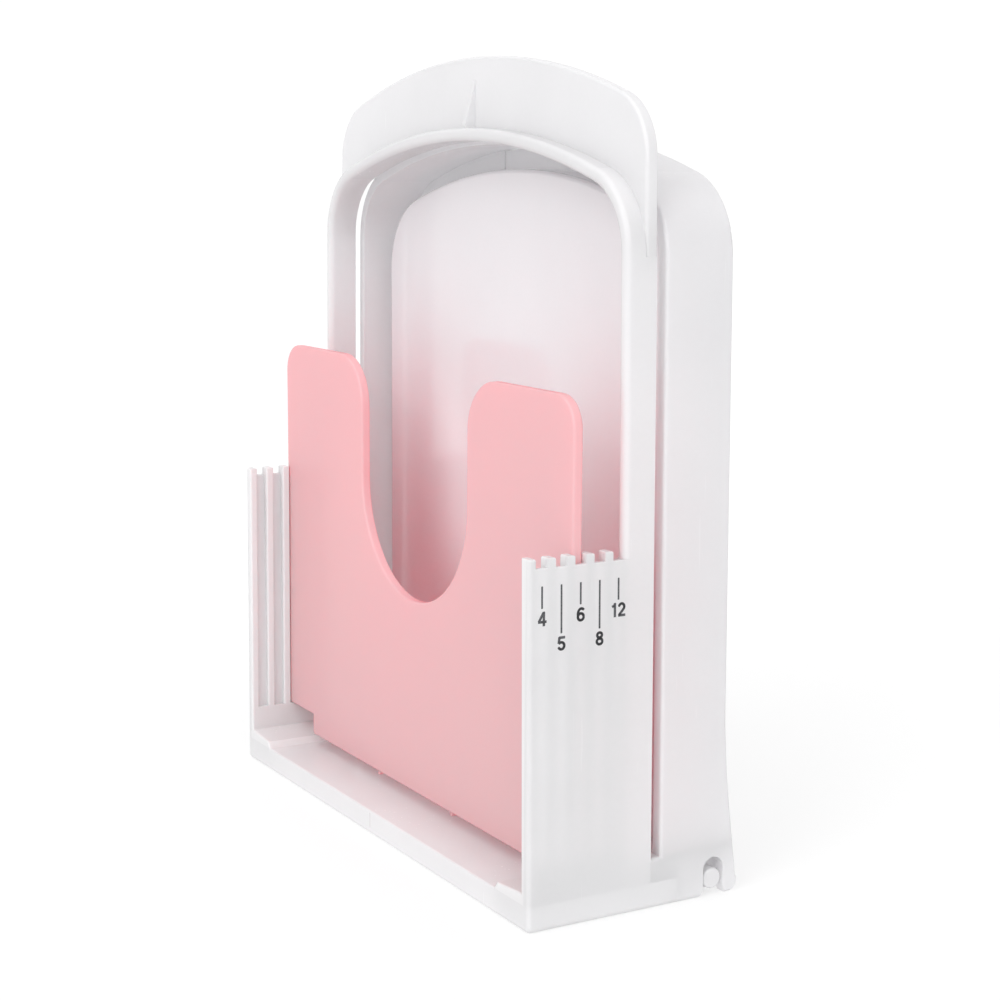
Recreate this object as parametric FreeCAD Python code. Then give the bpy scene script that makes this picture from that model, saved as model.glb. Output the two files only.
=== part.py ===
import FreeCAD, Part
import os
import math

V = FreeCAD.Vector

# ---------------------------------------------------------------------------
# Bread slicer guide: a free-standing white moulding with two arches and a
# knife slot between them, a slice-thickness plate that drops into one of five
# pairs of grooves, and a bread tray hinged at the rear foot.
# Millimetres.  While building, X runs across the object, Y runs back from the
# front face and Z up from the table; everything is moved at the end so that
# the origin is the centre of the whole object's footprint.
# ---------------------------------------------------------------------------

# --- overall -----------------------------------------------------------------
HALF_W = 79.0          # half width at the table
DRAFT = 0.01333        # mould draft: the side walls lean in 0.0133 mm per mm
WALL = 3.2             # side wall and arch wall
DEPTH = 54.0           # front face to the rear edge of the rear arch
EAR_DEPTH = 57.6       # front face to the back of the hinge ears
EAR_TOP_Z = 46.0       # height where the rear edge starts to swell to the ear
Y_SHIFT = -EAR_DEPTH / 2.0

# --- base tray ---------------------------------------------------------------
FLOOR_Z = 6.2          # crumb floor in front
FLOOR_T = 2.6          # its thickness over the hollows underneath
LEDGE_Z = 7.9          # raised ledge along each side wall, at its edge
LEDGE_WALL_Z = 8.8     # and where it meets the wall
LEDGE_X0 = 63.6        # foot of the ledge's slope
LEDGE_X1 = 64.9        # top of the ledge's slope
SILL_Z = 12.6          # loaf rests here inside the arches
CHEEK_Z = 12.0         # bottom of the knife slot
BASE_REAR_Y = 40.4     # rear of the sill
BOTTOM_R = 1.2         # rounding along both lower long edges
FRONT_R = 0.5          # rounding of the front face's inner outline
FRONT_OUT_R = 1.1      # rounding of the front face's outer outline
RIB_R = 0.4            # rounding of the ribs and tooth tops

# --- comb walls --------------------------------------------------------------
COMB_Y1 = 25.0         # comb walls end at the front arch
NOTCH_Z = 82.95         # wall top at the grooves
TOOTH_Z = 85.1         # wall top between the grooves
GROOVE_Y0 = 3.5        # first groove's centre
GROOVE_PITCH = 5.0     # 30, 25, 20, 15 and 10 mm slices
GROOVE_N = 5
GROOVE_W = 2.9
GROOVE_X = 76.8       # groove floor, upright so that the plate slides freely
GROOVE_END_Z = 15.3    # the grooves stop here

# --- arches ------------------------------------------------------------------
SLOT_Y0 = 33.0         # knife slot, front face
SLOT_Y1 = 35.7         # knife slot, rear face
FLANGE_T = 3.0         # tall knife guide plate
FLANGE_H, FLANGE_R, FLANGE_C = 196.5, 211.0, 16.0
FLANGE_LOW_Z = 150.0
ARCH_H, ARCH_R, ARCH_C = 179.0, 208.0, 20.0
REAR_H, REAR_R, REAR_C = 178.3, 208.0, 20.0
RIM_R = 1.5            # front arch's mouth
SLOT_R = 0.8           # rounding of the slot's rear rim
LIP_T = 2.5            # inward lip round the back of the rear arch
LIP_Y0 = DEPTH - LIP_T
LIP_LOW_Z = 20.0
REAR_EDGE_R = 0.7      # rounding of the rear edge
FINGER_HALF = 21.5     # finger notch in the lip's crown

# --- thickness plate ---------------------------------------------------------
PLATE_T = 2.5
PLATE_SLOT = 2         # third groove from the front: 20 mm slices
PLATE_HALF = 76.4
PLATE_TOP = 120.0
PLATE_TAB_Z = 15.35    # underside of the two tabs, which rest on the ends of the grooves
PLATE_LOW_HALF = 61.0  # narrow foot between the ledges
PLATE_BOTTOM = 9.6
PLATE_NUB_X = 20.1
PLATE_NUB_W = 0.9
U_HALF = 28.3          # finger cut-out
U_BOTTOM = 60.0
U_LIP_R = 13.0
PLATE_CORNER_R = 7.5

# --- bread tray --------------------------------------------------------------
PIVOT_Y = 50.8
PIVOT_Z = 4.1
PEG_D = 5.0
NOTCH_W = 5.8
NOTCH_TOP = 9.5
TRAY_FACE_Y = 42.0
TRAY_T = 2.5
TRAY_BACK_Y = 53.6
TRAY_RIM_T = 2.0
TRAY_HALF = 70.0
TRAY_H, TRAY_R, TRAY_C = 169.0, 183.0, 20.5
TRAY_BOTTOM = 8.0
TRAY_PEG_END = 78.6
ARM_TOP = 12.4         # top of the arms' cheek plates
TAB_GAP = 0.4          # pull tab under the rear arch's crown


def w(z):
    """outer half width at height z"""
    return HALF_W - DRAFT * z


def seg(a, b):
    return Part.LineSegment(a, b).toShape()


def arc3(a, b, c):
    return Part.Arc(a, b, c).toShape()


def arch_edges(inset, h, rc, cr, zlow, y, half=None):
    """open chain of edges: right leg up, right corner, crown, left corner, left leg"""
    base = (HALF_W if half is None else half) - inset
    k = DRAFT if half is None else 0.0
    s = math.sqrt(1.0 + k * k)
    z0 = h - rc
    b = base - cr * s
    dd = rc - cr
    qa = 1.0 + k * k
    qb = -2.0 * (b * k + z0)
    qc = b * b + z0 * z0 - dd * dd
    cz = (-qb + math.sqrt(qb * qb - 4.0 * qa * qc)) / (2.0 * qa)
    cx = b - k * cz
    leg = (cx + cr / s, cz + cr * k / s)
    ux, uz = cx / dd, (cz - z0) / dd
    crown = (rc * ux, z0 + rc * uz)
    a0 = math.atan2(leg[1] - cz, leg[0] - cx)
    a1 = math.atan2(crown[1] - cz, crown[0] - cx)
    am = 0.5 * (a0 + a1)
    mid = (cx + cr * math.cos(am), cz + cr * math.sin(am))
    foot = (base - k * zlow, zlow)

    def p(q, sx=1):
        return V(sx * q[0], y, q[1])
    return [seg(p(foot), p(leg)),
            arc3(p(leg), p(mid), p(crown)),
            arc3(p(crown), V(0, y, h), p(crown, -1)),
            arc3(p(crown, -1), p(mid, -1), p(leg, -1)),
            seg(p(leg, -1), p(foot, -1))], p(foot), p(foot, -1)


def arch_block(inset, h, rc, cr, zlow, y0, y1, half=None):
    """solid block under an arch outline, from y0 to y1"""
    edges, f0, f1 = arch_edges(inset, h, rc, cr, zlow, y0, half)
    wire = Part.Wire(edges + [seg(f1, f0)])
    return Part.Face(wire).extrude(V(0, y1 - y0, 0))


def prism_xz(points, y0, y1):
    pts = [V(x, y0, z) for x, z in points]
    return Part.Face(Part.makePolygon(pts + [pts[0]])).extrude(V(0, y1 - y0, 0))


def prism_yz(points, x0, x1):
    pts = [V(x0, y, z) for y, z in points]
    return Part.Face(Part.makePolygon(pts + [pts[0]])).extrude(V(x1 - x0, 0, 0))


def box(x0, x1, y0, y1, z0, z1):
    return Part.makeBox(x1 - x0, y1 - y0, z1 - z0, V(x0, y0, z0))


def mirror_x(shape):
    return shape.mirror(V(0, 0, 0), V(1, 0, 0))


def on_plane_y(edge, y, tol=1e-4):
    bb = edge.BoundBox
    return abs(bb.YMin - y) < tol and abs(bb.YMax - y) < tol


def fillet(shape, radius, pick):
    """round the picked edges"""
    edges = [e for e in shape.Edges if pick(e)]
    out = shape.makeFillet(radius, edges)
    if out.isNull() or not out.isValid() or out.Volume <= 0:
        raise RuntimeError("fillet failed")
    return out


def one(shape):
    s = shape.removeSplitter()
    return s


def side_profile(y0, z0, z1, x0, x1):
    """everything in front of the rear edge, which swells to the hinge ear"""
    g = [V(x0, y0, z0)]
    edges = []
    if z0 <= 0.0:
        a = V(x0, EAR_DEPTH - 3.2, 0.0)
        b = V(x0, EAR_DEPTH, 3.6)
        m = V(x0, EAR_DEPTH - 0.85, 1.0)
        edges.append(seg(V(x0, y0, 0.0), a))
        edges.append(arc3(a, m, b))
        start = b
    else:
        start = V(x0, rear_y(z0), z0)
        edges.append(seg(V(x0, y0, z0), start))
    zz = [z for z in (6.0, 9.0, 12.0, 16.0, 21.0, 27.0, 33.0, 39.0, EAR_TOP_Z) if start.z < z < z1]
    pts = [start] + [V(x0, rear_y(z), z) for z in zz]
    if z1 > EAR_TOP_Z:
        curve_end = pts[-1]
        sp = Part.BSplineCurve()
        sp.interpolate(Points=pts, InitialTangent=V(0, 0, 1) if z0 <= 0 else V(0, rear_y(z0 + 0.5) - rear_y(z0), 0.5),
                       FinalTangent=V(0, 0, 1))
        edges.append(sp.toShape())
        top = V(x0, DEPTH, z1)
        edges.append(seg(curve_end, top))
    else:
        top = V(x0, rear_y(z1), z1)
        pts.append(top)
        sp = Part.BSplineCurve()
        sp.interpolate(Points=pts, InitialTangent=V(0, 0, 1), FinalTangent=V(0, rear_y(z1) - rear_y(z1 - 0.5), 0.5))
        edges.append(sp.toShape())
    edges.append(seg(top, V(x0, y0, z1)))
    edges.append(seg(V(x0, y0, z1), V(x0, y0, z0 if z0 > 0 else 0.0)))
    return Part.Face(Part.Wire(edges)).extrude(V(x1 - x0, 0, 0))


def rear_y(z):
    """rear edge: straight at DEPTH, swelling smoothly to EAR_DEPTH near the table"""
    if z >= EAR_TOP_Z:
        return DEPTH
    t = (EAR_TOP_Z - z) / (EAR_TOP_Z - 3.6)
    t = min(t, 1.0)
    return DEPTH + (EAR_DEPTH - DEPTH) * (t * t * (1.35 - 0.35 * t * t))


# ---------------------------------------------------------------------------
# base: crumb floor, side ledges, loaf sill, hinge cheeks
# ---------------------------------------------------------------------------
def rounded_slab(z1, y0, y1):
    """full-width slab with rounded lower long edges and drafted sides"""
    r = BOTTOM_R
    q = r * (1.0 - math.sqrt(0.5))
    hw0, hw1 = w(r), w(z1)
    e = [seg(V(-HALF_W + r, y0, 0), V(HALF_W - r, y0, 0)),
         arc3(V(HALF_W - r, y0, 0), V(HALF_W - q, y0, q), V(hw0, y0, r)),
         seg(V(hw0, y0, r), V(hw1, y0, z1)),
         seg(V(hw1, y0, z1), V(-hw1, y0, z1)),
         seg(V(-hw1, y0, z1), V(-hw0, y0, r)),
         arc3(V(-hw0, y0, r), V(-HALF_W + q, y0, q), V(-HALF_W + r, y0, 0))]
    return Part.Face(Part.Wire(e)).extrude(V(0, y1 - y0, 0))


def groove_spans():
    out = []
    for i in range(GROOVE_N):
        yc = GROOVE_Y0 + i * GROOVE_PITCH
        y1 = yc + GROOVE_W / 2
        out.append((yc - GROOVE_W / 2, COMB_Y1 + 1.0 if i == GROOVE_N - 1 else y1))
    return out


def front_block():
    """floor, ledges and comb walls as moulded, with their rounded edges"""
    floor = rounded_slab(FLOOR_Z, 0.0, BASE_REAR_Y)
    il0, il1 = w(FLOOR_Z) - WALL, w(LEDGE_WALL_Z) - WALL
    zb, zt = FLOOR_Z, TOOTH_Z
    ledge = prism_xz([(LEDGE_X0, zb), (il0, zb), (il1, LEDGE_WALL_Z), (LEDGE_X1, LEDGE_Z)], 0.0, COMB_Y1)
    wall = prism_xz([(w(zb) - WALL, zb), (w(zb), zb), (w(zt), zt), (w(zt) - WALL, zt)], 0.0, COMB_Y1)
    for y0, y1 in groove_spans():
        wall = wall.cut(box(60.0, GROOVE_X, y0, y1, GROOVE_END_Z, zt + 1))
        wall = wall.cut(box(60.0, HALF_W + 2, y0, y1, NOTCH_Z, zt + 1))
    blk = one(floor.fuse([ledge, wall, mirror_x(ledge), mirror_x(wall)]))

    def outer_line(e):
        bb = e.BoundBox
        x = max(abs(bb.XMin), abs(bb.XMax))
        if not on_plane_y(e, 0.0):
            return False
        if bb.ZMax < BOTTOM_R + 0.01:
            return True
        return x > HALF_W - 1.5 and bb.XLength < 1.5
    blk = fillet(blk, FRONT_OUT_R, outer_line)

    def front(e):
        bb = e.BoundBox
        return on_plane_y(e, 0.0) and bb.ZMin > BOTTOM_R + 1.0
    blk = fillet(blk, FRONT_R, front)

    def ribs(e):
        bb = e.BoundBox
        x = min(abs(bb.XMin), abs(bb.XMax))
        if bb.ZMin > zt - 0.01 and bb.YMin > FRONT_OUT_R + 0.05:
            return True
        return bb.ZLength > 50 and x < w(GROOVE_END_Z) - WALL + 0.05 and bb.YMin > FRONT_R + 0.1
    blk = fillet(blk, RIB_R, ribs)

    # hollow underside with cross ribs
    xs = [-74.0, -50.0, -25.0, 0.0, 25.0, 50.0, 74.0]
    for x0, x1 in zip(xs[:-1], xs[1:]):
        blk = blk.cut(box(x0 + 0.9, x1 - 0.9, 2.8, COMB_Y1 - 0.6, -1.0, FLOOR_Z - FLOOR_T))
        blk = blk.cut(box(x0 + 0.9, x1 - 0.9, COMB_Y1 + 1.2, BASE_REAR_Y - 2.5, -1.0, FLOOR_Z - FLOOR_T))
    return blk


def inner_side(z0, z1):
    """everything between the centre and the drafted inner wall plane, right half"""
    return prism_xz([(0.0, z0), (w(z0) - WALL, z0), (w(z1) - WALL, z1), (0.0, z1)], -2.0, COMB_Y1 + 20)


def rib_side(z0, z1):
    """everything between the inner wall plane and the groove floor plane, right half"""
    return prism_xz([(w(z0) - WALL, z0), (GROOVE_X, z0), (GROOVE_X, z1), (w(z1) - WALL, z1)], -2.0, COMB_Y1 + 20)


def split_front(blk):
    out = {"base_floor": blk.common(box(-90, 90, -2, 90, -2, FLOOR_Z))}
    led = blk.common(inner_side(FLOOR_Z, LEDGE_WALL_Z + 2))
    pan = blk.common(box(GROOVE_X, 90, -2, 90, FLOOR_Z, 90))
    foot = blk.common(rib_side(FLOOR_Z, GROOVE_END_Z))
    ribs = blk.common(rib_side(GROOVE_END_Z, TOOTH_Z + 1))
    rib_set = Part.makeCompound(foot.Solids + ribs.Solids)
    for name, shape in (("side_ledge", led), ("comb_panel", pan), ("comb_ribs", rib_set)):
        out[name + "_right"] = shape
        out[name + "_left"] = mirror_x(shape)
    return out


def make_sill():
    """the loaf rests on this ridge; the knife's edge runs into the shallow groove across it"""
    a0, a1, a2 = w(FLOOR_Z) - WALL, w(CHEEK_Z) - WALL, w(SILL_Z) - WALL
    lo = prism_xz([(-a0, FLOOR_Z), (a0, FLOOR_Z), (a1, CHEEK_Z), (-a1, CHEEK_Z)], COMB_Y1, BASE_REAR_Y)
    hi = [(-a1, CHEEK_Z), (a1, CHEEK_Z), (a2, SILL_Z), (-a2, SILL_Z)]
    body = one(lo.fuse([prism_xz(hi, COMB_Y1, SLOT_Y0), prism_xz(hi, SLOT_Y1, BASE_REAR_Y)]))

    def edge(e):
        bb = e.BoundBox
        return bb.XLength > 50 and bb.ZMin > SILL_Z - 0.01
    return fillet(body, 0.35, edge)


# ---------------------------------------------------------------------------
# front arch: tunnel, tall knife-guide flange, gusset
# ---------------------------------------------------------------------------
def make_front_arch():
    def shell(z0, y0, y1):
        a = arch_block(0.0, ARCH_H, ARCH_R, ARCH_C, z0, y0, y1)
        b = arch_block(WALL, ARCH_H - WALL, ARCH_R - WALL, ARCH_C - WALL, z0 - 5, y0 - 1, y1 + 1)
        return a.cut(b)
    upper = shell(NOTCH_Z, COMB_Y1, SLOT_Y0)

    def rim(e):
        return on_plane_y(e, COMB_Y1) and not (e.BoundBox.XLength < 5 and e.BoundBox.ZLength < 0.01)
    upper = fillet(upper, RIM_R, rim)
    zb = FLOOR_Z
    leg = prism_xz([(w(zb) - WALL, zb), (w(zb), zb), (w(NOTCH_Z), NOTCH_Z), (w(NOTCH_Z) - WALL, NOTCH_Z)],
                   COMB_Y1, SLOT_Y0)
    body = one(upper.fuse([leg, mirror_x(leg)]))
    # the flange takes over behind this plane above the walls' plain part
    body = body.cut(arch_block(-1.0, FLANGE_H, FLANGE_R, FLANGE_C, FLANGE_LOW_Z, SLOT_Y0 - FLANGE_T, SLOT_Y0 + 1))
    return one(body)


def make_flange():
    """tall plate that guides the knife, with its small centre gusset"""
    flange = arch_block(0.0, FLANGE_H, FLANGE_R, FLANGE_C, FLANGE_LOW_Z, SLOT_Y0 - FLANGE_T, SLOT_Y0)

    def fl_front(e):
        bb = e.BoundBox
        return on_plane_y(e, SLOT_Y0 - FLANGE_T) and not (bb.ZLength < 0.01)
    flange = fillet(flange, 0.9, fl_front)

    def fl_back(e):
        bb = e.BoundBox
        return on_plane_y(e, SLOT_Y0) and not (bb.ZLength < 0.01)
    flange = fillet(flange, 0.4, fl_back)
    inner = arch_block(WALL, ARCH_H - WALL, ARCH_R - WALL, ARCH_C - WALL, 100.0, COMB_Y1 - 1, SLOT_Y0 + 1)
    flange = flange.cut(inner)
    y = SLOT_Y0 - FLANGE_T
    gusset = prism_yz([(COMB_Y1 + 1.9, ARCH_H - 2.0), (y, ARCH_H - 2.0), (y, ARCH_H + 12.0), (COMB_Y1 + 1.9, ARCH_H + 0.4)],
                      -0.9, 0.9)
    gusset = gusset.cut(arch_block(0.0, ARCH_H, ARCH_R, ARCH_C, 100.0, COMB_Y1 - 1, SLOT_Y0 + 1))
    return one(flange.fuse(gusset))


# ---------------------------------------------------------------------------
# rear arch with its inward lip
# ---------------------------------------------------------------------------
def rear_block():
    """hinge cheeks and rear arch as moulded, with the side walls' foot under the slot"""
    y1 = EAR_DEPTH + 1.0
    outer = arch_block(0.0, REAR_H, REAR_R, REAR_C, CHEEK_Z - 1.0, SLOT_Y1, y1)
    low = rounded_slab(CHEEK_Z, SLOT_Y0, y1).cut(box(-90, 90, SLOT_Y0 - 1, BASE_REAR_Y, -1, FLOOR_Z))
    prof = side_profile(SLOT_Y0 - 1.0, 0.0, 200.0, -HALF_W - 1, HALF_W + 1)
    blk = one(one(outer.fuse(low)).common(prof))

    def slot_rim(e):
        bb = e.BoundBox
        if on_plane_y(e, SLOT_Y1) and not (bb.ZLength < 0.01):
            return True
        x = min(abs(bb.XMin), abs(bb.XMax))
        level = abs(bb.ZMin - CHEEK_Z) < 1e-3 and abs(bb.ZMax - CHEEK_Z) < 1e-3
        return level and bb.YLength > 1 and bb.YMax < SLOT_Y1 + 0.01 and x > 70
    blk = fillet(blk, SLOT_R, slot_rim)

    def rear_rim(e):
        bb = e.BoundBox
        return bb.YMin > DEPTH - 0.01 and (bb.ZLength > 10 or bb.XLength > 10)
    blk = fillet(blk, REAR_EDGE_R, rear_rim)
    inner = arch_block(WALL, REAR_H - WALL, REAR_R - WALL, REAR_C - WALL, -5.0, SLOT_Y0 - 1, y1 + 1)
    blk = blk.cut(inner)
    # open-bottomed notches for the tray's pegs, flared at the mouth
    r = NOTCH_W / 2.0
    zc = NOTCH_TOP - r
    slot = Part.makeCylinder(r, 30, V(60, PIVOT_Y, zc), V(1, 0, 0))
    slot = slot.fuse(box(60, 90, PIVOT_Y - r, PIVOT_Y + r, -1.0, zc))
    flare = prism_yz([(PIVOT_Y - r - 1.0, -0.5), (PIVOT_Y + r + 1.0, -0.5), (PIVOT_Y + r + 0.8, 0.0),
                      (PIVOT_Y + r, 2.0), (PIVOT_Y - r, 2.0), (PIVOT_Y - r - 0.8, 0.0)], 60, 90)
    blk = blk.cut(slot).cut(flare).cut(mirror_x(slot)).cut(mirror_x(flare))
    return one(blk)


def split_rear(blk):
    """the arch's hoop and the two cheeks that carry it"""
    out = {"rear_arch": blk.common(box(-90, 90, SLOT_Y1, 90, CHEEK_Z, 200))}
    low = blk.common(box(-90, 90, -2, 90, -2, CHEEK_Z))
    out["hinge_cheek_right"] = low.common(box(0, 90, -2, 90, -2, 20))
    out["hinge_cheek_left"] = low.common(box(-90, 0, -2, 90, -2, 20))
    return out


def make_rear_lip():
    """inward lip round the back of the rear arch, open at the crown for a finger"""
    lip = arch_block(WALL, REAR_H - WALL, REAR_R - WALL, REAR_C - WALL, LIP_LOW_Z, LIP_Y0, DEPTH)
    hole = arch_block(0.0, TRAY_H + 0.9, TRAY_R + 0.9, TRAY_C + 0.9, 0.0, LIP_Y0 - 1, DEPTH + 1, half=TRAY_HALF + 0.9)
    lip = lip.cut(hole)
    finger = box(-FINGER_HALF, FINGER_HALF, LIP_Y0 - 1, DEPTH + 1, 150.0, REAR_H)
    return Part.makeCompound(lip.cut(finger).Solids)


# ---------------------------------------------------------------------------
# thickness plate
# ---------------------------------------------------------------------------
def make_plate():
    yc = GROOVE_Y0 + PLATE_SLOT * GROOVE_PITCH
    y0 = yc - PLATE_T / 2.0
    H, T = PLATE_HALF, PLATE_TOP
    rc, ru = PLATE_CORNER_R, U_LIP_R
    d = math.sqrt(0.5)
    zc = U_BOTTOM + U_HALF

    def P(x, z):
        return V(x, y0, z)
    tr = 1.2
    e = []
    right = [
        ("l", (0, 0), (0, 0)),
    ]
    # right half, from the U's bottom round to the foot's middle
    pts = [
        ("arc", (0, U_BOTTOM), (U_HALF * d, zc - U_HALF * d), (U_HALF, zc)),
        ("seg", (U_HALF, zc), (U_HALF, T - ru)),
        ("arc", (U_HALF, T - ru), (U_HALF + ru * (1 - d), T - ru * (1 - d)), (U_HALF + ru, T)),
        ("seg", (U_HALF + ru, T), (H - rc, T)),
        ("arc", (H - rc, T), (H - rc * (1 - d), T - rc * (1 - d)), (H, T - rc)),
        ("seg", (H, T - rc), (H, PLATE_TAB_Z + tr)),
        ("arc", (H, PLATE_TAB_Z + tr), (H - tr * (1 - d), PLATE_TAB_Z + tr * (1 - d)), (H - tr, PLATE_TAB_Z)),
        ("seg", (H - tr, PLATE_TAB_Z), (PLATE_LOW_HALF, PLATE_TAB_Z)),
        ("seg", (PLATE_LOW_HALF, PLATE_TAB_Z), (PLATE_LOW_HALF, PLATE_BOTTOM + tr)),
        ("arc", (PLATE_LOW_HALF, PLATE_BOTTOM + tr), (PLATE_LOW_HALF - tr * (1 - d), PLATE_BOTTOM + tr * (1 - d)),
         (PLATE_LOW_HALF - tr, PLATE_BOTTOM)),
        ("seg", (PLATE_LOW_HALF - tr, PLATE_BOTTOM), (0, PLATE_BOTTOM)),
    ]
    for kind, *q in pts:
        if kind == "seg":
            e.append(seg(P(*q[0]), P(*q[1])))
            e.append(seg(P(-q[0][0], q[0][1]), P(-q[1][0], q[1][1])))
        else:
            e.append(arc3(P(*q[0]), P(*q[1]), P(*q[2])))
            e.append(arc3(P(-q[0][0], q[0][1]), P(-q[1][0], q[1][1]), P(-q[2][0], q[2][1])))
    wire = Part.Wire(Part.__sortEdges__(e))
    plate = one(Part.Face(wire).extrude(V(0, PLATE_T, 0)))

    def rim(edge):
        return on_plane_y(edge, y0) or on_plane_y(edge, y0 + PLATE_T)
    plate = fillet(plate, 0.6, rim)
    for sx in (-1, 1):
        n = box(sx * PLATE_NUB_X - PLATE_NUB_W / 2, sx * PLATE_NUB_X + PLATE_NUB_W / 2,
                y0 + 0.5, y0 + 1.7, PLATE_BOTTOM - 0.9, PLATE_BOTTOM + 0.5)
        plate = plate.fuse(n)
    return one(plate)


# ---------------------------------------------------------------------------
# bread tray: panel, rim with pull tab, hinge arms with pegs
# ---------------------------------------------------------------------------
def make_tray_panel():
    p = arch_block(0.0, TRAY_H, TRAY_R, TRAY_C, TRAY_BOTTOM, TRAY_FACE_Y, TRAY_FACE_Y + TRAY_T, half=TRAY_HALF)

    def front(e):
        return on_plane_y(e, TRAY_FACE_Y)
    return one(fillet(p, 1.1, front))


def make_tray_rim():
    y0 = TRAY_FACE_Y + TRAY_T
    a = arch_block(0.0, TRAY_H, TRAY_R, TRAY_C, TRAY_BOTTOM, y0, TRAY_BACK_Y, half=TRAY_HALF)
    b = arch_block(TRAY_RIM_T, TRAY_H - TRAY_RIM_T, TRAY_R - TRAY_RIM_T, TRAY_C - TRAY_RIM_T,
                   TRAY_BOTTOM + TRAY_RIM_T, y0 - 1, TRAY_BACK_Y + 1, half=TRAY_HALF)
    rim = a.cut(b)
    # pull tab that stands in the finger notch of the lip
    g = TAB_GAP
    tab = arch_block(0.0, REAR_H - WALL - g, REAR_R - WALL - g, REAR_C - WALL - g, 160.0,
                     TRAY_BACK_Y - 2.2, TRAY_BACK_Y, half=TRAY_HALF)
    tab = tab.common(box(-FINGER_HALF + 0.8, FINGER_HALF - 0.8, TRAY_BACK_Y - 3, TRAY_BACK_Y + 1, TRAY_H - 2.5, 190.0))
    return one(rim.fuse(tab))


def make_tray_arm(sign):
    """corner bracket under the panel: a cheek plate beside the body's wall, and the round peg"""
    x0, x1 = TRAY_HALF - 2.6, TRAY_HALF
    x2 = w(PIVOT_Z) - WALL - 0.6
    r = 3.4
    arm = prism_yz([(PIVOT_Y - r, PIVOT_Z), (PIVOT_Y + r - 0.6, PIVOT_Z), (TRAY_BACK_Y, TRAY_BOTTOM),
                    (TRAY_FACE_Y + 1.2, TRAY_BOTTOM)], x0, x1)
    plate = prism_yz([(PIVOT_Y - r, PIVOT_Z), (PIVOT_Y + r, PIVOT_Z), (PIVOT_Y + r, ARM_TOP - 1.5),
                      (PIVOT_Y + r - 1.5, ARM_TOP), (PIVOT_Y - r + 1.5, ARM_TOP), (PIVOT_Y - r, ARM_TOP - 1.5)], x1, x2)
    disc = Part.makeCylinder(r, x2 - x0, V(x0, PIVOT_Y, PIVOT_Z), V(1, 0, 0))
    peg = Part.makeCylinder(PEG_D / 2.0, TRAY_PEG_END - x0, V(x0, PIVOT_Y, PIVOT_Z), V(1, 0, 0))

    def tip(e):
        return e.BoundBox.XMin > TRAY_PEG_END - 0.01 and e.BoundBox.YLength > 1
    peg = fillet(peg, 0.5, tip)
    arm = one(arm.fuse([plate, disc, peg]))
    return arm if sign > 0 else mirror_x(arm)


def all_nodes():
    nodes = split_front(front_block())
    nodes["loaf_sill"] = make_sill()
    rear = rear_block()
    for name, shape in split_rear(rear).items():
        nodes[name] = shape
    nodes["front_arch"] = make_front_arch()
    nodes["knife_guide_flange"] = make_flange()
    nodes["rear_arch_lip"] = make_rear_lip()
    nodes["thickness_plate"] = make_plate()
    nodes["tray_panel"] = make_tray_panel()
    nodes["tray_rim"] = make_tray_rim()
    nodes["tray_peg_right"] = make_tray_arm(1)
    nodes["tray_peg_left"] = make_tray_arm(-1)
    return nodes


if __name__ == "__main__":
    os.makedirs("parts", exist_ok=True)
    for name, shape in all_nodes().items():
        shape = shape.copy()
        shape.translate(V(0, Y_SHIFT, 0))
        bb = shape.BoundBox
        print("%-18s valid %s solids %d vol %.0f  x %.2f %.2f  y %.2f %.2f  z %.2f %.2f" % (
            name, shape.isValid(), len(shape.Solids), shape.Volume, bb.XMin, bb.XMax, bb.YMin, bb.YMax, bb.ZMin, bb.ZMax))
        shape.exportStep("parts/%s.step" % name)
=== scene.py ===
import math
import bpy
import bmesh
from mathutils import Matrix, Vector


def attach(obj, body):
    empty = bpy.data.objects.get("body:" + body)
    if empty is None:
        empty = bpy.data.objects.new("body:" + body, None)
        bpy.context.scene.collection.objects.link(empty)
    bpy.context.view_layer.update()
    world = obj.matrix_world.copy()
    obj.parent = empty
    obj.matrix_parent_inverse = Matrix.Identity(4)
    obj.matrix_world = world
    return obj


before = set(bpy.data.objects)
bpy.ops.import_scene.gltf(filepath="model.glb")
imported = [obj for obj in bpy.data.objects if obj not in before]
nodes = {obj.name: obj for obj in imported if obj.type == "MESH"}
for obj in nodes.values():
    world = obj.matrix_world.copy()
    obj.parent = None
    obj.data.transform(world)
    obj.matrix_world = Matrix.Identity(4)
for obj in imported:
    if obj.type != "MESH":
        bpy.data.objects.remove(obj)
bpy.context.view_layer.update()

MM = 0.001
Y_SHIFT = -28.8          # the frame's Y = distance from the front face - 28.8 mm
DRAFT = 0.01333


def w_out(z):
    """half width of the moulding at height z, mm"""
    return 79.0 - DRAFT * z


# ---------------------------------------------------------------------------
# materials
# ---------------------------------------------------------------------------
def node(nt, kind, loc=(0, 0), **inputs):
    n = nt.nodes.new(kind)
    n.location = loc
    for k, v in inputs.items():
        n.inputs[k.replace("_", " ")].default_value = v
    return n


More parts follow.
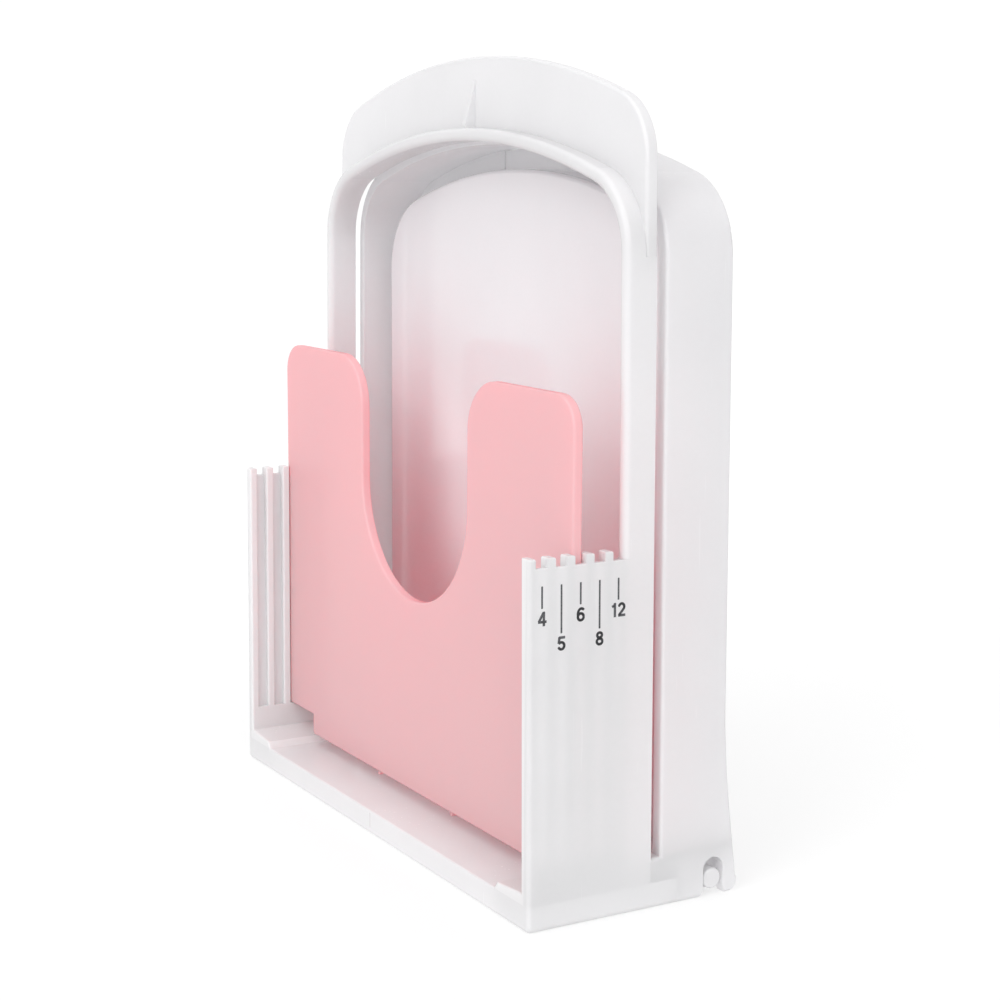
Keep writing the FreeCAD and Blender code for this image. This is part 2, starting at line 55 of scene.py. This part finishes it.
def moulded(name, tint_a, tint_b, rough=(0.16, 0.26), sss=0.0, radius=(1, 1, 1), sss_scale=0.003, ior=1.53,
            sink=0.000035, grain=0.0000035, coat=0.0, thru=0.0, thru_color=(1, 1, 1)):
    """glossy injection-moulded plastic: faint colour drift, flow-line gloss variation, sink waviness, fine
    tool-finish grain and a few hairline scuffs"""
    m = bpy.data.materials.new(name)
    m.use_nodes = True
    nt = m.node_tree
    nt.nodes.clear()
    out = node(nt, "ShaderNodeOutputMaterial", (900, 0))
    b = node(nt, "ShaderNodeBsdfPrincipled", (600, 0))
    b.inputs["IOR"].default_value = ior
    b.inputs["Coat Weight"].default_value = coat
    b.inputs["Coat Roughness"].default_value = 0.06
    b.inputs["Subsurface Weight"].default_value = sss
    b.inputs["Subsurface Radius"].default_value = radius
    b.inputs["Subsurface Scale"].default_value = sss_scale
    if thru > 0:
        # light that passes through the thin walls
        tl = node(nt, "ShaderNodeBsdfTranslucent", (600, -700))
        tl.inputs["Color"].default_value = (*thru_color, 1)
        mx = node(nt, "ShaderNodeMixShader", (780, -100))
        mx.inputs[0].default_value = thru
        nt.links.new(b.outputs[0], mx.inputs[1])
        nt.links.new(tl.outputs[0], mx.inputs[2])
        nt.links.new(mx.outputs[0], out.inputs[0])
    else:
        nt.links.new(b.outputs[0], out.inputs[0])
    tc = node(nt, "ShaderNodeTexCoord", (-1400, 0))

    # slow colour drift of the resin
    drift = node(nt, "ShaderNodeTexNoise", (-900, 500), Scale=22.0, Detail=3.0, Roughness=0.55)
    nt.links.new(tc.outputs["Object"], drift.inputs["Vector"])
    speck = node(nt, "ShaderNodeTexNoise", (-900, 250), Scale=900.0, Detail=2.0, Roughness=0.6)
    nt.links.new(tc.outputs["Object"], speck.inputs["Vector"])
    add = node(nt, "ShaderNodeMath", (-680, 400))
    add.operation = "MULTIPLY_ADD"
    nt.links.new(speck.outputs[0], add.inputs[0])
    add.inputs[1].default_value = 0.25
    nt.links.new(drift.outputs[0], add.inputs[2])
    ramp = node(nt, "ShaderNodeValToRGB", (-460, 400))
    ramp.color_ramp.elements[0].position = 0.42
    ramp.color_ramp.elements[0].color = (*tint_a, 1)
    ramp.color_ramp.elements[1].position = 0.78
    ramp.color_ramp.elements[1].color = (*tint_b, 1)
    nt.links.new(add.outputs[0], ramp.inputs[0])
    nt.links.new(ramp.outputs[0], b.inputs["Base Color"])

    # gloss varies along the melt's flow
    mp = node(nt, "ShaderNodeMapping", (-1150, 0))
    mp.inputs["Scale"].default_value = (30.0, 30.0, 8.0)
    nt.links.new(tc.outputs["Object"], mp.inputs["Vector"])
    flow = node(nt, "ShaderNodeTexNoise", (-900, 0), Scale=1.0, Detail=4.0, Roughness=0.6, Distortion=0.8)
    nt.links.new(mp.outputs[0], flow.inputs["Vector"])
    # hairline scuffs
    ms = node(nt, "ShaderNodeMapping", (-1150, -300))
    ms.inputs["Rotation"].default_value = (0.4, 0.7, 0.3)
    ms.inputs["Scale"].default_value = (1400.0, 1400.0, 45.0)
    nt.links.new(tc.outputs["Object"], ms.inputs["Vector"])
    hair = node(nt, "ShaderNodeTexNoise", (-900, -300), Scale=1.0, Detail=1.0, Roughness=0.4)
    nt.links.new(ms.outputs[0], hair.inputs["Vector"])
    hmap = node(nt, "ShaderNodeMapRange", (-680, -300))
    hmap.inputs["From Min"].default_value = 0.70
    hmap.inputs["From Max"].default_value = 0.78
    hmap.inputs["To Min"].default_value = 0.0
    hmap.inputs["To Max"].default_value = 0.05
    nt.links.new(hair.outputs[0], hmap.inputs[0])
    rmap = node(nt, "ShaderNodeMapRange", (-680, 0))
    rmap.inputs["From Min"].default_value = 0.3
    rmap.inputs["From Max"].default_value = 0.7
    rmap.inputs["To Min"].default_value = rough[0]
    rmap.inputs["To Max"].default_value = rough[1]
    nt.links.new(flow.outputs[0], rmap.inputs[0])
    radd = node(nt, "ShaderNodeMath", (-460, -100))
    radd.operation = "ADD"
    nt.links.new(rmap.outputs[0], radd.inputs[0])
    nt.links.new(hmap.outputs[0], radd.inputs[1])
    nt.links.new(radd.outputs[0], b.inputs["Roughness"])

    # sink waviness, then tool-finish grain
    sinkn = node(nt, "ShaderNodeTexNoise", (-900, -600), Scale=38.0, Detail=1.5, Roughness=0.4)
    nt.links.new(tc.outputs["Object"], sinkn.inputs["Vector"])
    b1 = node(nt, "ShaderNodeBump", (-200, -500), Strength=1.0, Distance=sink)
    nt.links.new(sinkn.outputs[0], b1.inputs["Height"])
    grainn = node(nt, "ShaderNodeTexNoise", (-900, -850), Scale=2600.0, Detail=2.0, Roughness=0.6)
    nt.links.new(tc.outputs["Object"], grainn.inputs["Vector"])
    b2 = node(nt, "ShaderNodeBump", (50, -500), Strength=1.0, Distance=grain)
    nt.links.new(grainn.outputs[0], b2.inputs["Height"])
    nt.links.new(b1.outputs[0], b2.inputs["Normal"])
    nt.links.new(b2.outputs[0], b.inputs["Normal"])
    return m


WHITE = moulded("white_abs", (0.84, 0.837, 0.848), (0.88, 0.877, 0.888), rough=(0.17, 0.27),
                thru=0.24, thru_color=(0.975, 0.965, 0.975))
# painted light: the ribs and side ledges are the same white plastic, given a lighter base colour than white_abs to
# lift the shade they stand in
RIBS_PAINTED_LIGHT = moulded("white_abs_ribs_painted_light", (0.91, 0.905, 0.915), (0.95, 0.945, 0.955), rough=(0.17, 0.27),
               thru=0.20, thru_color=(0.975, 0.965, 0.975))
# the thin rear walls pass more light through (translucency); their base colour, lighter than white_abs, is painted
# light that lifts the shaded inside of the rear arch
REAR_PAINTED_LIGHT = moulded("white_abs_thin_painted_light", (0.862, 0.862, 0.873), (0.902, 0.902, 0.913), rough=(0.17, 0.27),
               thru=0.34, thru_color=(0.98, 0.966, 0.978))
PANEL = moulded("white_abs_panel", (0.86, 0.84, 0.865), (0.89, 0.87, 0.895), rough=(0.10, 0.16),
                sink=0.00006, coat=0.25, thru=0.12, thru_color=(0.98, 0.955, 0.97))
PINK = moulded("pink_abs", (0.97, 0.97, 0.99), (0.99, 0.99, 1.0), rough=(0.15, 0.23),
               sink=0.00005, thru=0.555, thru_color=(1.0, 0.25, 0.325))


def ink_material():
    m = bpy.data.materials.new("printed_ink")
    m.use_nodes = True
    nt = m.node_tree
    b = nt.nodes["Principled BSDF"]
    tc = node(nt, "ShaderNodeTexCoord", (-900, 0))
    n = node(nt, "ShaderNodeTexNoise", (-650, 100), Scale=2500.0, Detail=3.0)
    nt.links.new(tc.outputs["Object"], n.inputs["Vector"])
    r = node(nt, "ShaderNodeValToRGB", (-400, 100))
    r.color_ramp.elements[0].position = 0.35
    r.color_ramp.elements[0].color = (0.055, 0.055, 0.062, 1)
    r.color_ramp.elements[1].position = 0.75
    r.color_ramp.elements[1].color = (0.13, 0.13, 0.14, 1)
    nt.links.new(n.outputs[0], r.inputs[0])
    nt.links.new(r.outputs[0], b.inputs["Base Color"])
    mr = node(nt, "ShaderNodeMapRange", (-400, -200))
    mr.inputs["To Min"].default_value = 0.42
    mr.inputs["To Max"].default_value = 0.60
    nt.links.new(n.outputs[0], mr.inputs[0])
    nt.links.new(mr.outputs[0], b.inputs["Roughness"])
    bp = node(nt, "ShaderNodeBump", (-150, -300), Strength=1.0, Distance=0.000002)
    nt.links.new(n.outputs[0], bp.inputs["Height"])
    nt.links.new(bp.outputs[0], b.inputs["Normal"])
    return m


INK = ink_material()
# painted shade: a darker grey copy of the white plastic, standing in for the shade of a tiny step
STEP_SHADE = moulded("white_abs_painted_step_shade", (0.62, 0.60, 0.61), (0.68, 0.66, 0.67), rough=(0.3, 0.4))

for name, obj in nodes.items():
    mat = WHITE
    if name == "thickness_plate":
        mat = PINK
    elif name in ("tray_panel",):
        mat = PANEL
    # painted light: the rear arch parts get the lightened copy of the white plastic
    elif name in ("rear_arch", "rear_arch_lip", "tray_rim", "hinge_cheek_left", "hinge_cheek_right"):
        mat = REAR_PAINTED_LIGHT
    # painted light: the shaded ribs and side ledges get the lightened copy of the white plastic
    elif name in ("comb_ribs_left", "comb_ribs_right", "side_ledge_left", "side_ledge_right"):
        mat = RIBS_PAINTED_LIGHT
    obj.data.materials.clear()
    obj.data.materials.append(mat)


# ---------------------------------------------------------------------------
# printed scale on the right comb wall: five marks and the number of slices
# ---------------------------------------------------------------------------
def wall_point(y, z, proud):
    """a point on the right outer wall, metres"""
    return Vector(((w_out(z) + proud) * MM, (y + Y_SHIFT) * MM, z * MM))


def wall_ink(name, polys):
    """thin ink film from flat polygons given as (y, z) mm"""
    bm = bmesh.new()
    for pts in polys:
        top = [bm.verts.new(wall_point(y, z, 0.022)) for y, z in pts]
        low = [bm.verts.new(wall_point(y, z, -0.01)) for y, z in pts]
        try:
            bm.faces.new(top)
        except ValueError:
            continue
        n = len(pts)
        for i in range(n):
            bm.faces.new((top[i], low[i], low[(i + 1) % n], top[(i + 1) % n]))
        bm.faces.new(list(reversed(low)))
    bmesh.ops.recalc_face_normals(bm, faces=bm.faces)
    me = bpy.data.meshes.new(name)
    bm.to_mesh(me)
    bm.free()
    me.materials.append(INK)
    ob = bpy.data.objects.new(name, me)
    bpy.context.scene.collection.objects.link(ob)
    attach(ob, "guide")
    return ob


def rounded_bar(y, z0, z1, wd):
    """a tick mark with slightly rounded ends"""
    h = wd / 2
    r = h * 0.5
    pts = []
    for cy, cz, a0 in ((y + h - r, z1 - r, 0), (y - h + r, z1 - r, 90), (y - h + r, z0 + r, 180), (y + h - r, z0 + r, 270)):
        for k in range(4):
            a = math.radians(a0 + 30 * k)
            pts.append((cy + r * math.cos(a), cz + r * math.sin(a)))
    return pts


def arc_pts(cx, cy, rx, ry, a0, a1, n=20):
    return [(cx + rx * math.cos(math.radians(a0 + (a1 - a0) * k / n)), cy + ry * math.sin(math.radians(a0 + (a1 - a0) * k / n)))
            for k in range(n + 1)]


# strokes of plain bold figures, in a cell one unit high
FIGURES = {
    "1": (0.46, [[(0.29, 0.0), (0.29, 1.0)], [(0.30, 0.90), (0.20, 0.80), (0.07, 0.735)]]),
    "2": (0.62, [arc_pts(0.31, 0.675, 0.205, 0.235, 165, -28) + [(0.36, 0.40), (0.16, 0.19), (0.10, 0.09)],
                 [(0.04, 0.09), (0.60, 0.09)]]),
    "4": (0.66, [[(0.455, 0.0), (0.455, 1.0)], [(0.43, 0.93), (0.08, 0.31)], [(0.02, 0.295), (0.655, 0.295)]]),
    "5": (0.60, [[(0.125, 0.91), (0.57, 0.91)], [(0.155, 0.95), (0.105, 0.50)],
                 [(0.105, 0.50)] + arc_pts(0.295, 0.335, 0.215, 0.245, 125, -160)]),
    "6": (0.62, [arc_pts(0.315, 0.33, 0.215, 0.24, 0, 360, 32), arc_pts(0.36, 0.52, 0.26, 0.385, 52, 190)]),
    "8": (0.62, [arc_pts(0.31, 0.735, 0.19, 0.175, 0, 360, 32), arc_pts(0.31, 0.29, 0.22, 0.20, 0, 360, 32)]),
}
STROKE = 0.185


def stroke_polys(line, wd):
    """a bold stroke along a line of points as quads with round joints"""
    out = []
    for (x0, y0), (x1, y1) in zip(line[:-1], line[1:]):
        dx, dy = x1 - x0, y1 - y0
        n = math.hypot(dx, dy)
        if n < 1e-9:
            continue
        nx, ny = -dy / n * wd / 2, dx / n * wd / 2
        out.append([(x0 + nx, y0 + ny), (x0 - nx, y0 - ny), (x1 - nx, y1 - ny), (x1 + nx, y1 + ny)])
    for x, y in line[1:-1]:
        out.append([(x + wd / 2 * math.cos(2 * math.pi * k / 14), y + wd / 2 * math.sin(2 * math.pi * k / 14)) for k in range(14)])
    return out


def digit_mesh(name, text, y_mid, z_top, height, width):
    """a number in plain bold figures, laid on the wall"""
    polys = []
    x = 0.0
    for ch in text:
        adv, lines = FIGURES[ch]
        for line in lines:
            polys += [[(px + x, min(max(py, 0.0), 1.0)) for px, py in p] for p in stroke_polys(line, STROKE)]
        x += adv + 0.05
    xs = [px for p in polys for px, _ in p]
    x0, x1 = min(xs), max(xs)
    flat = [[(y_mid + ((px - x0) / (x1 - x0) - 0.5) * width, z_top - (1.0 - py) * height) for px, py in p] for p in polys]
    return wall_ink(name, flat)


MARKS = (("4", 3.5, 79.0, 74.0, 73.35, 2.25), ("5", 8.5, 79.0, 68.0, 67.35, 2.1), ("6", 13.5, 79.0, 74.0, 73.35, 2.15),
         ("8", 18.5, 79.0, 68.0, 67.35, 2.1), ("12", 23.5, 79.0, 74.0, 73.35, 3.7))
for text, y, z1, z0, zt, wd in MARKS:
    wall_ink("mark_" + text, [rounded_bar(y - 0.03, z0, z1, 0.45)])
    digit_mesh("number_" + text, text, y, zt, 3.25, wd)

# painted shade: a darker grey strip for the faint parting line in the middle of the base's front edge, standing in for
# the shade of its tiny step
bm = bmesh.new()
bmesh.ops.create_cube(bm, size=1.0)
for v in bm.verts:
    v.co = Vector((v.co.x * 0.28 * MM, (Y_SHIFT - 0.02 + v.co.y * 0.06) * MM, (3.75 + v.co.z * 3.9) * MM))
me = bpy.data.meshes.new("parting_line_painted_shade")
bm.to_mesh(me)
bm.free()
me.materials.append(STEP_SHADE)
pl = bpy.data.objects.new("parting_line_painted_shade", me)
bpy.context.scene.collection.objects.link(pl)
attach(pl, "guide")

# ---------------------------------------------------------------------------
# floor, light, camera
# ---------------------------------------------------------------------------
bm = bmesh.new()
bmesh.ops.create_circle(bm, cap_ends=True, segments=96, radius=6.0)
me = bpy.data.meshes.new("floor")
bm.to_mesh(me)
bm.free()
floor = bpy.data.objects.new("floor", me)
bpy.context.scene.collection.objects.link(floor)
fm = bpy.data.materials.new("pale_floor")
fm.use_nodes = True
fb = fm.node_tree.nodes["Principled BSDF"]
fb.inputs["Base Color"].default_value = (0.40, 0.40, 0.40, 1)
fb.inputs["Roughness"].default_value = 0.7
fb.inputs["Specular IOR Level"].default_value = 0.2
fb.inputs["Emission Color"].default_value = (1.0, 1.0, 1.0, 1)
fb.inputs["Emission Strength"].default_value = 0.56
me.materials.append(fm)

scene = bpy.context.scene
scene.view_settings.view_transform = "Standard"
scene.view_settings.look = "None"
scene.view_settings.exposure = 0.0
scene.view_settings.gamma = 1.0

ROOM = 0.17
OVERHEAD = 1.10
world = bpy.data.worlds.new("studio")
scene.world = world
world.use_nodes = True
wt = world.node_tree
bg = wt.nodes["Background"]
# white backdrop behind the object, a dimmer soft room in front and overhead
wtc = node(wt, "ShaderNodeTexCoord", (-1100, 0))
wdot = node(wt, "ShaderNodeVectorMath", (-850, 0))
wdot.operation = "DOT_PRODUCT"
wt.links.new(wtc.outputs["Generated"], wdot.inputs[0])
wdot.inputs[1].default_value = (-0.8638, 0.5038, 0.0)
wramp = node(wt, "ShaderNodeValToRGB", (-550, 0))
wramp.color_ramp.interpolation = "EASE"
wramp.color_ramp.elements[0].position = 0.35
wramp.color_ramp.elements[0].color = (ROOM, ROOM, ROOM, 1)
wramp.color_ramp.elements[1].position = 0.80
wramp.color_ramp.elements[1].color = (1.0, 1.0, 1.0, 1)
wt.links.new(wdot.outputs["Value"], wramp.inputs[0])
wsep = node(wt, "ShaderNodeSeparateXYZ", (-850, -300))
wt.links.new(wtc.outputs["Generated"], wsep.inputs[0])
wtop = node(wt, "ShaderNodeValToRGB", (-550, -300))
wtop.color_ramp.elements[0].position = 0.45
wtop.color_ramp.elements[0].color = (0.0, 0.0, 0.0, 1)
wtop.color_ramp.elements[1].position = 0.95
wtop.color_ramp.elements[1].color = (OVERHEAD, OVERHEAD, OVERHEAD, 1)
wt.links.new(wsep.outputs["Z"], wtop.inputs[0])
# the walls of the room are pale near the floor, so that the floor has no hard edge from any side
whor = node(wt, "ShaderNodeValToRGB", (-550, -600))
whor.color_ramp.interpolation = "EASE"
whor.color_ramp.elements[0].position = 0.03
whor.color_ramp.elements[0].color = (1.0, 1.0, 1.0, 1)
whor.color_ramp.elements[1].position = 0.21
whor.color_ramp.elements[1].color = (ROOM, ROOM, ROOM, 1)
wt.links.new(wsep.outputs["Z"], whor.inputs[0])
wlow = node(wt, "ShaderNodeMix", (-400, -150))
wlow.data_type = "RGBA"
wlow.blend_type = "LIGHTEN"
wlow.inputs["Factor"].default_value = 1.0
wt.links.new(wramp.outputs[0], wlow.inputs[6])
wt.links.new(whor.outputs[0], wlow.inputs[7])
wmax = node(wt, "ShaderNodeMix", (-250, 0))
wmax.data_type = "RGBA"
wmax.blend_type = "LIGHTEN"
wmax.inputs["Factor"].default_value = 1.0
wt.links.new(wlow.outputs[2], wmax.inputs[6])
wt.links.new(wtop.outputs[0], wmax.inputs[7])
wt.links.new(wmax.outputs[2], bg.inputs["Color"])
bg.inputs["Strength"].default_value = 1.03


def sun(name, strength, angle_deg, az, el):
    """az 0 = from the front (-Y), 90 = from the right (+X)"""
    l = bpy.data.lights.new(name, "SUN")
    l.energy = strength
    l.angle = math.radians(angle_deg)
    o = bpy.data.objects.new(name, l)
    a, e = math.radians(az), math.radians(el)
    d = Vector((math.sin(a) * math.cos(e), -math.cos(a) * math.cos(e), math.sin(e)))
    o.rotation_euler = d.to_track_quat("Z", "Y").to_euler()
    scene.collection.objects.link(o)
    return o


sun("key", 0.77, 36, 22, 23)
sun("top", 0.76, 50, 16, 52)
sun("side", 0.90, 50, 83, 37)

# camera
PSI, THETA, ROLL = 1.0435, 0.1633, 0.0057
f = Vector((-math.sin(PSI) * math.cos(THETA), math.cos(PSI) * math.cos(THETA), -math.sin(THETA)))
r = Vector((math.cos(PSI), math.sin(PSI), 0.0))
u = r.cross(f)
r2 = math.cos(ROLL) * r + math.sin(ROLL) * u
u2 = -math.sin(ROLL) * r + math.cos(ROLL) * u
cam = bpy.data.cameras.new("photo_camera")
cam.sensor_width = 36.0
cam.lens = 1983.02 * 36.0 / 1000.0
cam.clip_start = 0.01
cam.clip_end = 30.0
co = bpy.data.objects.new("photo_camera", cam)
m3 = Matrix((r2, u2, -f)).transposed()
co.matrix_world = Matrix.Translation(Vector((0.439495, -0.217804 + Y_SHIFT * MM, 0.167905))) @ m3.to_4x4()
scene.collection.objects.link(co)
scene.camera = co
